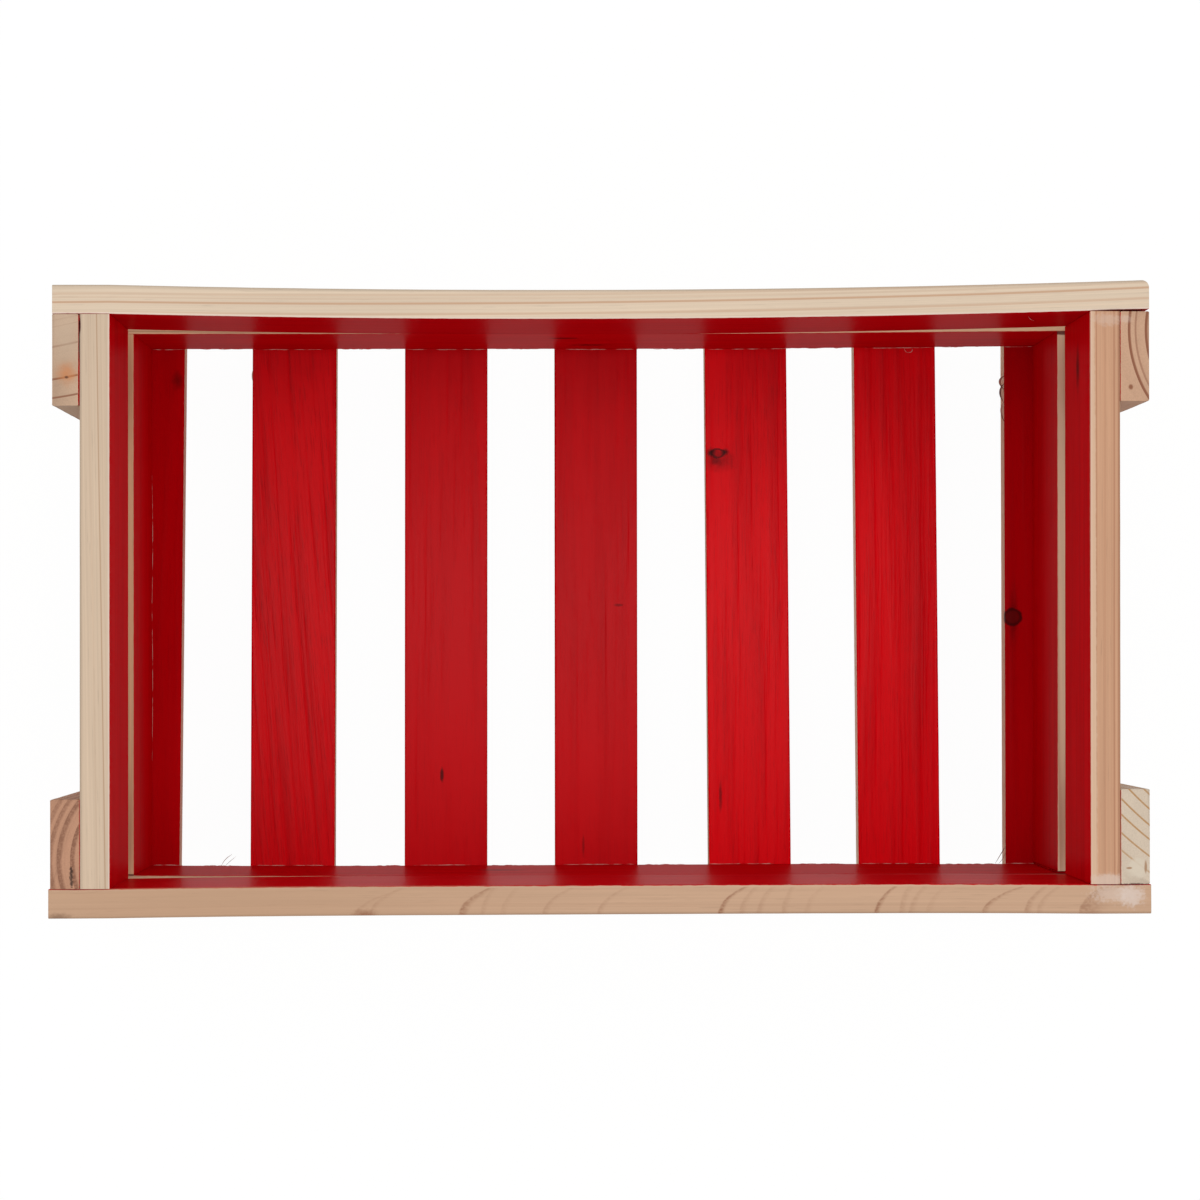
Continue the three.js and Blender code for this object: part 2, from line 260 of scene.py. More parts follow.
PINES = {
    "back_upper_board": Pine(
        CREAM, CREAM_LINE, ring=4.6, share=0.3, strength=0.12, pith=(24, -88), lean=(0.0, -0.0095),
        # red below 1 darkens this board's stain as painted shade.
        wander=0.5, streak=0.35, red=0.86, film=1.9, glint=0.4,
        rings=(Ring(84.4, 1.2, 0.3), Ring(85.8, 0.8, 0.2), Ring(87.8, 1.0, 0.85), Ring(92.2, 1.2, 0.5)),
        marks=(
            # Painted shade of the slit beside the back right post.
            Mark((217, 118.6, 166), (15, 0.7, 1.2), SLIT_SHADE, 0.7, 0.4, 0.2),
            Mark((-213, 117.3, 166), (13, 0.45, 1.0), JOINT_RED, 0.75, 0.6, 0.4),
        ),
    ),
    "front_upper_board": Pine(
        TAN, TAN_LINE, ring=3.0, share=0.5, strength=0.1, pith=(-24, -40), lean=(0.0, 0.0), streak=0.3,
        film=5.0, bleed=2.5, glint=0.05,
        arcs=(
            Arc(-101.3, 21.6, 0.3), Arc(-95.0, 12.7, 0.35), Arc(-58.4, 12.5, 1.0, 4.5),
            Arc(-50.0, 6.0, 0.25), Arc(-41.4, 6.0, 0.2), Arc(-24.5, 12.3, 0.35),
            Arc(-2.0, 12.3, 0.3), Arc(47.6, 10.5, 1.0, 2.6), Arc(56.0, 6.6, 0.28),
            Arc(63.0, 6.6, 0.28), Arc(73.6, 3.7, 0.25), Arc(82.7, 7.4, 0.15),
            Arc(111.6, 8.5, 0.95, 2.4), Arc(121.8, 4.1, 0.3), Arc(125.8, 6.6, 0.28),
            Arc(132.7, 8.6, 0.15), Arc(156.0, 18.0, 0.7), Arc(173.3, 8.6, 0.45),
            Arc(178.0, 10.0, 0.25), Arc(195.4, 11.0, 0.6, 14.0),
        ),
        marks=(
            Mark((-150, -123, 166), (120, 30, 3), shade(186, 148, 118), 0.5, 1.0, 0.2, 60),
            Mark((209.0, -121.0, 166), (9, 3.8, 2), SMEAR, 0.55, 0.6, 0.9, 900),
            Mark((217, -122, 166), (5.5, 4.6, 2), WHITISH, 0.65, 0.5, 0.7, 700),
            Mark((-97.1, -128.2, 166), (5.0, 2.0, 2), TAN_LINE, 0.85, 0.9, 0.6, 700),
            # Pale pink along the lower inner edge.
            Mark((156, -117.2, 102.4), (46, 3, 1.8), PALE_PINK, 0.5, 0.6, 0.5, 300),
            # Painted shade on the rounded outer corner at the left end.
            Mark((-221.5, -128.8, 166), (5, 1.8, 2), shade(120, 88, 68), 0.6, 0.9, 0.6, 700),
            Mark((-213, -117.3, 166), (13, 0.45, 1.0), shade(150, 70, 66), 0.8, 0.6, 0.4),
            Mark((214, -117.3, 166), (12, 0.45, 1.0), shade(116, 56, 62), 0.75, 0.6, 0.6, 900),
        ),
    ),
    "back_lower_board": Pine(
        # The pale is raised to lighten the top edge in the gap: painted light.
        shade(232, 196, 160), PINKISH_LINE, ring=4.0, pith=(-8, 55), lean=(0.01, 0.014), streak=0.4,
        ragged=0.6, film=2.4,
        marks=(
            Mark((-2, 117, 31), (9, 4, 4), KNOT_RED, 0.7, 0.7, 0.6, swirl=1.5),
            Mark((-14, 117, 62), (7, 4, 4), KNOT_RED, 0.7, 0.7, 0.6, swirl=1.0),
        ),
    ),
    "front_lower_board": Pine(
        TAN, TAN_LINE, ring=4.2, pith=(12, -46), lean=(-0.008, 0.012), streak=0.4, ragged=0.6, film=3.6,
        marks=(
            Mark((-42.5, -118, 46.6), (10, 3, 7), shade(70, 28, 34), 0.45, 0.9, 0.7, 300),
            Mark((186, -119, 82), (32, 3, 1.2), shade(150, 34, 38), 0.85, 0.6, 0.3, 300),
        ),
    ),
    "left_upper_end_board": Pine(
        shade(209, 185, 160), shade(178, 142, 114), ring=6.0, share=0.25, strength=0.08, pith=(30, 86),
        lean=(0.0, -0.0137), wander=0.4, streak=0.4, red=1.08, film=1.35, glint=0.4,
        rings=(Ring(83.5, 0.5, 0.75), Ring(86.9, 0.7, 0.12), Ring(79.6, 0.7, 0.12)),
        # Painted shade of the slit beside the back left post.
        marks=(Mark((-213, 112.8, 166), (0.55, 3.6, 1.5), SLIT_SHADE, 0.95, 0.4, 0.2),),
    ),
    "right_upper_end_board": Pine(
        shade(202, 155, 123), PINKISH_LINE, ring=3.4, share=0.4, strength=0.2, pith=(30, -62),
        lean=(0.0, 0.0), wander=0.4, streak=0.5, red=1.1, film=0.85, glint=0.4,
        rings=(Ring(65.9, 0.5, 0.6), Ring(62.4, 0.7, 0.25), Ring(58.7, 0.8, 0.6), Ring(56.9, 0.7, 0.6)),
        marks=(
            Mark((200.5, 97.5, 135), (4, 9, 4), KNOT_DARK, 0.8, 0.9, 0.3, swirl=1.0),
            Mark((201.9, 0, 166), (1.5, 400, 2), shade(222, 190, 162), 0.65, 0.4, 0.3),
            Mark((208.5, 115, 166), (6.5, 2.6, 2), SMEAR, 0.35, 0.6, 0.8, 700),
            Mark((207.5, -115.6, 166), (8, 3.0, 2), SMEAR, 0.65, 0.5, 0.5, 900),
        ),
    ),
    "left_lower_end_board": Pine(
        shade(205, 158, 124), CREAM_LINE, ring=4.4, pith=(-10, 60), streak=0.4, red=1.12, film=1.9,
        # Painted shade of the slit at this board's front end.
        marks=(Mark((-203, -117.2, 82), (6, 0.6, 1), SLIT_SHADE, 0.85, 0.4, 0.2),),
    ),
    "right_lower_end_board": Pine(
        shade(211, 178, 151), PINKISH_LINE, ring=3.8, pith=(6, -58), streak=0.4, film=1.9,
        # Painted shade of the slit at this board's back end.
        marks=(Mark((204, 117.6, 82), (9, 0.9, 1), SLIT_SHADE, 0.9, 0.4, 0.2),),
    ),
    # On the posts, narrow darkens the side faces as painted shade.
    "back_left_post": Pine(
        shade(200, 167, 140), shade(138, 90, 66), ring=6.4, share=0.25, strength=0.08, pith=(196, -39),
        lean=(0, 0), wander=0.2, bleed=1.3, narrow=0.7,
        rings=(
            Ring(183.2, 0.5, 0.2), Ring(185.9, 0.5, 0.25), Ring(194.05, 0.9, 0.6), Ring(207.2, 1.0, 0.95),
            Ring(214.7, 0.9, 0.85),
        ),
        marks=(
            Mark((-218.8, 110, 166), (9, 15, 2), shade(200, 180, 157), 0.45, 1.0, 0.3, 200),
            Mark((-218.3, 93.0, 166), (4.4, 4.4, 3), shade(200, 128, 78), 0.75, 1.0, 0.4),
            Mark((-213, 98, 166), (0.5, 22, 2), shade(150, 60, 55), 0.8, 0.5, 0.3),
            Mark((-218.3, 91.4, 166), (0.8, 0.6, 1), shade(90, 56, 42), 0.85, 0.7, 0.3),
        ),
    ),
    "back_right_post": Pine(
        shade(203, 162, 133), shade(138, 86, 62), ring=7.3, share=0.3, strength=0.08, pith=(11, -49.2),
        lean=(0, 0), wander=0.25, bleed=1.3, narrow=0.75,
        rings=(Ring(52.0, 1.4, 0.95), Ring(49.2, 1.0, 0.55), Ring(45.0, 1.3, 0.95), Ring(44.5, 3.6, 0.35)),
        marks=(
            Mark((218, 87.1, 166), (1.0, 1.2, 1), shade(136, 84, 58), 0.9, 0.5, 0.2),
            Mark((216, 115, 166), (2.8, 1.8, 2), SMEAR, 0.35, 0.7, 0.8, 700),
        ),
    ),
    "front_left_post": Pine(
        shade(191, 143, 115), shade(124, 82, 62), ring=3.5, share=0.5, strength=0.12, pith=(-7, 37),
        lean=(0, 0), wander=0.25, dotted=0.35, bleed=1.3, narrow=0.8,
        rings=(Ring(34.75, 2.4, 0.8), Ring(40.2, 2.6, 0.75), Ring(43.6, 2.2, 0.6), Ring(46.7, 2.2, 0.5)),
        marks=(Mark((-216.4, -112.5, 166), (0.7, 4.8, 2), shade(48, 34, 30), 0.85, 0.6, 1.3, 1100),),
    ),
    "front_right_post": Pine(
        shade(211, 193, 172), shade(176, 132, 84), ring=4.95, share=0.2, strength=0.06, pith=(114, -97),
        lean=(0, 0), wander=0.15, dotted=0.15, bleed=1.2, narrow=0.85,
        rings=(
            Ring(133.2, 0.8, 0.9), Ring(137.6, 0.8, 0.95), Ring(142.6, 0.8, 0.95), Ring(147.1, 0.8, 0.95),
            Ring(152.6, 0.8, 0.9), Ring(157.9, 0.8, 0.7),
        ),
        marks=(
            Mark((219.5, -110.8, 166), (4.6, 4.2, 2), shade(214, 200, 180), 0.85, 0.4, 0.5),
            Mark((216.2, -110.6, 166), (1.2, 0.5, 1), shade(160, 118, 84), 0.8, 0.5, 0.5),
            Mark((223.0, -110.2, 166), (0.6, 2.6, 1), shade(160, 118, 84), 0.8, 0.5, 0.4),
            Mark((219.6, -117.3, 166), (6.4, 0.6, 1.2), shade(88, 52, 44), 0.8, 0.6, 0.9, 900),
        ),
    ),
    "bottom_slat_1": Pine(
        # red below 1 darkens this slat's stain as painted shade from the left wall.
        shade(205, 153, 128), CREAM_LINE, pith=(14, -44), streak=0.35, ragged=0.8, red=0.81, film=0.1,
        marks=(front_end_light(-197, 0.1), Mark((-189, 103, 12), (2.5, 4, 2), KNOT_RED, 0.6, 0.8, 0.5)),
    ),
    "bottom_slat_2": Pine(
        PINKISH, TAN_LINE, ring=3.2, pith=(-30, -36), lean=(-0.08, 0.01), streak=0.9, ragged=0.8, red=1.2,
        marks=(back_end_shade(-136), front_end_light(-136, 0.2)),
    ),
    "bottom_slat_3": Pine(
        CREAM, CREAM_LINE, pith=(22, -60), streak=0.35, ragged=0.8, red=1.05,
        marks=(
            back_end_shade(-67),
            front_end_light(-67, 0.12),
            Mark((-69.2, -76.8, 12), (0.9, 3.4, 1.5), KNOT_DARK, 0.85, 0.5, 0.4),
        ),
    ),
    "bottom_slat_4": Pine(
        TAN, TAN_LINE, pith=(-12, 52), streak=0.3, ragged=0.8,
        marks=(
            back_end_shade(1),
            front_end_light(1, 0.22),
            Mark((-4.9, -109.2, 12), (0.6, 5, 2), KNOT_RED, 0.5, 0.7, 0.4),
            Mark((11.3, 0.3, 12), (2.2, 0.7, 1.5), KNOT_RED, 0.6, 0.7, 0.5, 700),
        ),
    ),
    "bottom_slat_5": Pine(
        TAN, TAN_LINE, ring=3.4, pith=(8, -38), lean=(0.01, 0.012), streak=0.65, ragged=0.8, red=1.38,
        marks=(
            back_end_shade(69, 64, 0.26),
            front_end_light(69, 0.14),
            Mark((58.0, 66.2, 12), (6.5, 4.5, 4), KNOT_RED, 0.5, 1.0, 0.5),
            Mark((56.9, 69.6, 12), (3.0, 2.0, 4), shade(132, 8, 14), 0.55, 0.6, 0.5, rim=0.8, swirl=1.5),
            Mark((54.0, 69.7, 12), (2.0, 2.2, 2), KNOT_DARK, 0.95, 0.9, 0.5, 700),
            Mark((60.4, 70.0, 12), (1.8, 1.6, 2), KNOT_DARK, 0.9, 0.9, 0.5, 700),
            Mark((56.0, 66.0, 12), (2.6, 1.6, 2), KNOT_RED, 0.6, 0.9, 0.6, 700),
            Mark((57.7, -86.8, 12), (0.8, 7, 2), KNOT_RED, 0.7, 0.7, 0.4),
        ),
    ),
    "bottom_slat_6": Pine(
        CREAM, CREAM_LINE, ring=3.6, pith=(-34, -40), lean=(0.006, 0.008), streak=0.6, ragged=0.8, red=1.37,
        film=0.9,
        marks=(
            back_end_shade(138, 70),
            Mark((149, 0, 12), (9, 80, 3), shade(136, 0, 8), 0.25, 1.0, 0.3, 120),
        ),
    ),
    "bottom_slat_7": Pine(
        # red below 1 darkens this slat's stain as painted shade from the right wall.
        shade(213, 173, 144), TAN_LINE, pith=(10, -50), streak=0.35, ragged=0.8, red=0.74, film=0.2,
        marks=(
            back_end_shade(205, 36, 0.38),
            front_end_light(205, 0.1),
            Mark((192, -5, 12), (2.0, 13, 5), KNOT_RED, 0.6, 0.9, 0.3),
            Mark((191.6, -5.6, 12), (4.0, 3.7, 5), shade(92, 12, 14), 0.9, 0.45, 0.2, rim=0.85, swirl=2.0),
        ),
    ),
}

BOWS = {
    "front_lower_board": Bow(-0.6, 4, 0.95, 0.5),
    "front_upper_board": Bow(0.7),
    "back_lower_board": Bow(lift=1.1, start=0.3),
    "back_upper_board": Bow(2.7, 2, 1.1, -1.0, 3.0),
}

SIDES = ("front", "back")
LEVELS = ("lower", "upper")
ENDS = ("left", "right")
SIDE_BOARDS = [f"{side}_{level}_board" for side in SIDES for level in LEVELS]
END_BOARDS = [f"{end}_{level}_end_board" for end in ENDS for level in LEVELS]
POSTS = [f"{side}_{end}_post" for side in SIDES for end in ENDS]
SLATS = [f"bottom_slat_{number}" for number in range(1, 8)]
STAPLES = [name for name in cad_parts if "staple" in name]

# The boards' grids, dents, planing waves and sanded edges.
OUTER_FACE = 2
END_DEPTH = 2 * MM
SHARP_WALL = 0.02 * MM
FACE_MARGIN = 0.4 * MM
WAVE_LENGTH = 45 * MM
WAVE_WIDTH = 7 * MM
SANDING_LENGTH = 9 * MM
SPLINTER_LENGTH = 2.5 * MM
ARRIS_MEAN = 0.62
ARRIS_SPREAD = 0.3
ARRIS_RANGE = (0.5, 0.96)
# How far the painted shade on the outer long edges reaches, in arrises.
ARRIS_SHADE_REACH = 1.3
KNOCK_STEPS = 12
SHARP_ANGLE = math.radians(40)
# The pine's pattern, its stain and its relief.
RING_STRAY = 3.0 * MM
YEAR_STRAY = 2.2
RING_END = 0.2 * MM
SWIRL_FALL = -0.35
MARK_RIM = ((0.55, 0.9), (1.0, 1.25))
SLAT_BLEED = 6.0
RELIEF = 0.08 * MM
# The strands.
NEARLY_UP = (0.13, 0.21, 1.0)
GLUE_COUNT = 15
GLUE_RADII = (0.06, 0.12)
FUZZ_COUNT = 8
FUZZ_RADII = (0.06, 0.14)
STRAND_SEED = 11
# The stage.
WHITE = (1.0, 1.0, 1.0, 1.0)
FLOOR_GREY = (0.9, 0.9, 0.9, 1.0)
FLOOR_STRENGTH = 1.012
FLOOR_DEPTH = 0.2 * MM
LAMP_OFFSET = 40 * MM


@dataclass
class Board:
    """A board's place: its centre, its three unit directions, its sizes, and the staples set into it."""

    name: str
    centre: np.ndarray
    along: np.ndarray
    across: np.ndarray
    inward: np.ndarray
    size: np.ndarray
    bow: Bow
    staples: list


def node_points(name):
    """The corner points of a CAD node, as rows."""
    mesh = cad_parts[name].data
    flat = np.empty(3 * len(mesh.vertices))
    mesh.vertices.foreach_get("co", flat)
    return flat.reshape(-1, 3)


def name_number(name):
    """A number that is always the same for a name: the sum of its letters' codes."""
    return sum(map(ord, name))


def plan_turn(name):
    """A piece's clockwise turn, seen from above: the slope of the line between its two ends along Y."""
    points = node_points(name)
    middle_x = []
    for place in (points[:, 1].max(), points[:, 1].min()):
        end = points[np.abs(points[:, 1] - place) < END_DEPTH][:, 0]
        middle_x.append((end.min() + end.max()) / 2)
    return math.atan2(middle_x[0] - middle_x[1], np.ptp(points[:, 1]))


def grain_directions(name):
    """Unit directions along the grain, across the board and towards the stained face."""
    east, north, up = np.eye(3)
    if name in SIDE_BOARDS:
        return east, up, north if name.startswith("front") else -north
    turn = plan_turn(name)
    beside = east * math.cos(turn) - north * math.sin(turn)
    ahead = north * math.cos(turn) + east * math.sin(turn)
    if name in SLATS:
        return ahead, beside, up
    into = beside if "left" in name else -beside
    return (up, ahead, into) if name in POSTS else (ahead, up, into)


def board_staples(name):
    """The staples whose crowns lie in a board's outer face."""
    if name in SIDE_BOARDS:
        return [staple for staple in STAPLES if staple.startswith(name.replace("board", ""))]
    if name in POSTS:
        side, end, _ = name.split("_")
        return [f"{end}_{level}_end_{side}_staple" for level in LEVELS]
    if name in SLATS:
        return [f"{name.replace('bottom_', '')}_{side}_staple" for side in SIDES]
    return []


def read_board(name):
    """A board as the frame has it. A bent board's depth is read off its left end, which lies flat."""
    directions = np.array(grain_directions(name))
    points = node_points(name)
    local = points @ directions.T
    low = local.min(axis=0)
    high = local.max(axis=0)
    if name in SIDE_BOARDS:
        flat = local[points[:, 0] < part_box("left_upper_end_board")[0][0]]
        low[2], high[2] = flat[:, 2].min(), flat[:, 2].max()
    centre = (low + high) / 2 @ directions
    return Board(name, centre, *directions, high - low, BOWS.get(name, Bow()), board_staples(name))


def smooth_noise(random, places, spacing):
    """Random values from -1 to 1 at even spacing along a line, blended between by a smooth step."""
    position = (places - places.min()) / spacing
    left = np.floor(position).astype(int)
    part = position - left
    part = part * part * (3 - 2 * part)
    values = random.uniform(-1, 1, left.max() + 2)
    return values[left] * (1 - part) + values[left + 1] * part


def dent_lines(middle, half):
    """Four grid lines round a dent, two close together at each wall, so that its walls stand steep."""
    return [middle + side * half + step for side in (-1, 1) for step in (-SHARP_WALL, SHARP_WALL)]


def find_dents(board, sizes):
    """Middle and half size of each dent on a board's outer face, along and across it."""
    dents = []
    for staple in board.staples:
        low, high = (np.array(corner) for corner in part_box(staple))
        offset = (low + high) / 2 - board.centre
        half = (high - low) / 2
        middle = offset @ board.along, offset @ board.across
        reach = np.abs(board.along) @ half, np.abs(board.across) @ half
        dents.append((*middle, *(length + sizes.dent_clearance for length in reach)))
    return dents


def stations_along(board, sizes, dents):
    """Places along a board and how far its section draws in there: even steps, dent walls, rounded ends."""
    ease = sizes.end_ease * (0.5 if board.name in END_BOARDS else 1.0)
    end = board.size[0] / 2 - ease
    steps = int(2 * end / sizes.station)
    inner = list(np.linspace(-end, end, steps))
    for middle, _, half, _ in dents:
        inner += dent_lines(middle, half)
    inner += list(np.linspace(end - board.bow.knock * MM, end, KNOCK_STEPS))
    inner = np.unique(np.round(inner, 7))
    angles = np.radians((30, 60, 90))
    rounding = end + ease * np.sin(angles)
    drawn = ease * (1 - np.cos(angles))
    places = np.concatenate((-rounding[::-1], inner, rounding))
    inset = np.concatenate((drawn[::-1], np.zeros(len(inner)), drawn))
    return places, inset


def face_lines(half, step, extra=()):
    """Places across one face of the section, closer at its two edges, with the dent walls among them."""
    margin = min(FACE_MARGIN, half / 4)
    count = max(2, int(2 * half / step))
    lines = np.concatenate(((-half, half), np.linspace(margin - half, half - margin, count), extra))
    return np.unique(np.round(lines, 7))


def plank_section(board, sizes, stations, inset, dents, ragged, random):
    """Across and inward places of the board's surface, a row for each station.

    The section is a rectangle with its corners rounded. It runs over the stained face, the upper edge, the
    outer face and the lower edge. Each corner's radius wanders along the board, each broad face is let in
    by planing waves, and the section draws in along its normals at the rounded ends.
    """
    half_width, half_depth = board.size[1] / 2, board.size[2] / 2
    largest = sizes.arris
    turn = np.linspace(0, math.pi / 2, sizes.arc_steps + 1)
    normals = np.array(((0, 1), (1, 0), (0, -1), (-1, 0)))
    extra = [line for _, middle, _, half in dents for line in dent_lines(middle, half)]
    across, inward, is_outer = [], [], []
    for face in range(4):
        normal = normals[face]
        travel = normals[(face + 1) % 4]
        broad = face % 2 == 0
        reach = half_width if broad else half_depth
        depth = half_depth if broad else half_width
        walls = np.array(extra) * travel[0] if face == OUTER_FACE else ()
        lines = face_lines(reach - largest, sizes.face_step, walls)
        swell = smooth_noise(random, stations, WAVE_LENGTH)[:, None]
        wave = 1 + swell * np.cos(lines / WAVE_WIDTH)[None, :]
        let_in = wave * sizes.unevenness / 2 * broad + inset[:, None]
        across.append(travel[0] * lines + normal[0] * (depth - let_in))
        inward.append(travel[1] * lines + normal[1] * (depth - let_in))
        is_outer.append(np.full(len(lines), face == OUTER_FACE))
        sanded = smooth_noise(random, stations, SANDING_LENGTH)
        rough = sanded * 0.5 + smooth_noise(random, stations, SPLINTER_LENGTH) * ragged * 0.5
        radius = largest * np.clip(ARRIS_MEAN + ARRIS_SPREAD * rough, *ARRIS_RANGE)[:, None]
        corner = normal + travel
        arc = normal[:, None] * np.cos(turn) + travel[:, None] * np.sin(turn)
        shrunk = radius - inset[:, None]
        across.append(corner[0] * (half_width - radius) + shrunk * arc[0])
        inward.append(corner[1] * (half_depth - radius) + shrunk * arc[1])
        is_outer.append(np.full(len(turn), False))
    return np.concatenate(across, axis=1), np.concatenate(inward, axis=1), np.concatenate(is_outer)


def plank_surface(board, sizes, pine, random):
    """Places along, across and inward over the whole surface of a board, as three grids.

    The rounded section is carried along the board. Where a staple's crown lies, the outer face is pressed
    in by the dent's depth. Over a knocked corner the section is squeezed towards the stained face by a
    quarter circle.
    """
    dents = find_dents(board, sizes)
    stations, inset = stations_along(board, sizes, dents)
    across, inward, is_outer = plank_section(board, sizes, stations, inset, dents, pine.ragged, random)
    along = np.repeat(stations[:, None], across.shape[1], axis=1)
    for middle, cross_middle, half, cross_half in dents:
        pressed = (np.abs(along - middle) < half) & (np.abs(across - cross_middle) < cross_half) & is_outer
        inward = np.where(pressed, inward + sizes.dent_depth, inward)
    knock = board.bow.knock * MM
    past = np.clip(along - board.size[0] / 2 + knock, 0, knock)
    kept = 1 - (knock - np.sqrt(knock ** 2 - past ** 2)) / board.size[2]
    inward = board.size[2] / 2 - (board.size[2] / 2 - inward) * kept
    return along, across, inward


def bow_inward(board, along):
    """How far a bent board stands in at each place along it, by the same curve as its solid.

    With the place as a share of the way to an end board, that is the depth times one minus the share to a
    power, less the lift, which grows evenly from its start. Past an end board the board is flat, or runs on
    if lifted.
    """
    bow = board.bow
    share = (board.centre[0] + along) / -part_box("left_upper_end_board")[1][0]
    lifted = bow.lift * np.maximum(share - bow.start, 0) / (1 - bow.start)
    curve = bow.depth * (1 - np.abs(share) ** bow.power) - lifted
    bent = (share >= -1) & ((share <= 1) | (bow.lift > 0))
    return np.where(bent, curve * MM, 0.0)


def grid_faces(rows, columns, flip):
    """Quads between neighbouring rows of a closed section, with one face over each end."""
    first = np.arange(rows - 1)[:, None] * columns + np.arange(columns)[None, :]
    following = np.arange(rows - 1)[:, None] * columns + (np.arange(columns)[None, :] + 1) % columns
    quads = np.stack((first, following, following + columns, first + columns), axis=-1).reshape(-1, 4)
    start = np.arange(columns)[::-1]
    finish = np.arange(columns) + (rows - 1) * columns
    if flip:
        quads = quads[:, ::-1]
        start = start[::-1]
        finish = finish[::-1]
    return quads.tolist() + [start.tolist(), finish.tolist()]


def link_object(name, data):
    """A new object in the scene."""
    item = bpy.data.objects.new(name, data)
    bpy.context.scene.collection.objects.link(item)
    return item


def new_piece(name, points, faces):
    """A piece at the origin with its place in its mesh, riding on the crate."""
    mesh = bpy.data.meshes.new(name)
    mesh.from_pydata(points, [], faces)
    mesh.validate()
    piece = link_object(name, mesh)
    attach(piece, "root")
    return piece


def add_attribute(mesh, name, kind, values):
    """Writes one value for each point of a mesh."""
    field = "vector" if kind == "FLOAT_VECTOR" else "value"
    mesh.attributes.new(name, kind, "POINT").data.foreach_set(field, np.ravel(values).astype(np.float32))


def outer_arris(board, sizes, across, inward):
    """Mask of painted shade: 1 on the two long edges of the outer face, falling to 0 a little over an arris
    away.
    """
    to_edge = board.size[1] / 2 - np.abs(across)
    to_outer = board.size[2] / 2 + inward
    return np.clip(1 - np.hypot(to_edge, to_outer) / (ARRIS_SHADE_REACH * sizes.arris), 0, 1)


def make_board(context, name):
    """One dressed board that stands for its CAD node, with its grain and its stain's reach as attributes.

    The grain attribute is the place across, inward and along, counted from the pith, which leans along the
    board, so that rings run through faces and sawn ends alike. The stain attribute is the depth below the
    stained face.
    """
    sizes = context.scene.crate_boards
    pine = PINES[name]
    board = read_board(name)
    random = np.random.default_rng(name_number(name))
    along, across, inward = plank_surface(board, sizes, pine, random)
    place = (
        board.centre
        + along[..., None] * board.along
        + across[..., None] * board.across
        + (inward + bow_inward(board, along))[..., None] * board.inward
    )
    flip = np.dot(np.cross(board.across, board.inward), board.along) > 0
    rows, columns = along.shape
    faces = grid_faces(rows, columns, flip)
    piece = new_piece(f"pine_{name}", place.reshape(-1, 3), faces)
    mesh = piece.data
    grain = np.stack(
        (
            across - pine.pith[0] * MM - pine.lean[0] * along,
            inward - pine.pith[1] * MM - pine.lean[1] * along,
            along,
        ),
        axis=-1,
    )
    add_attribute(mesh, "grain", "FLOAT_VECTOR", grain)
    add_attribute(mesh, "stain", "FLOAT", board.size[2] / 2 - inward)
    # Mask of the painted shade that darkens the outer long edges.
    add_attribute(mesh, "handled", "FLOAT", outer_arris(board, sizes, across, inward))
    mesh.polygons.foreach_set("use_smooth", np.arange(len(faces)) < len(faces) - 2)
    mesh.set_sharp_from_angle(angle=SHARP_ANGLE)
    stained = inward[rows // 2] > board.size[2] / 2 - sizes.arris
    material_index = np.concatenate((np.tile(stained, rows - 1), (False, False))).astype(np.int32)
    for is_red in (False, True):
        mesh.materials.append(pine_material(context, board, pine, is_red))
    mesh.polygons.foreach_set("material_index", material_index)
    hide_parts(name)


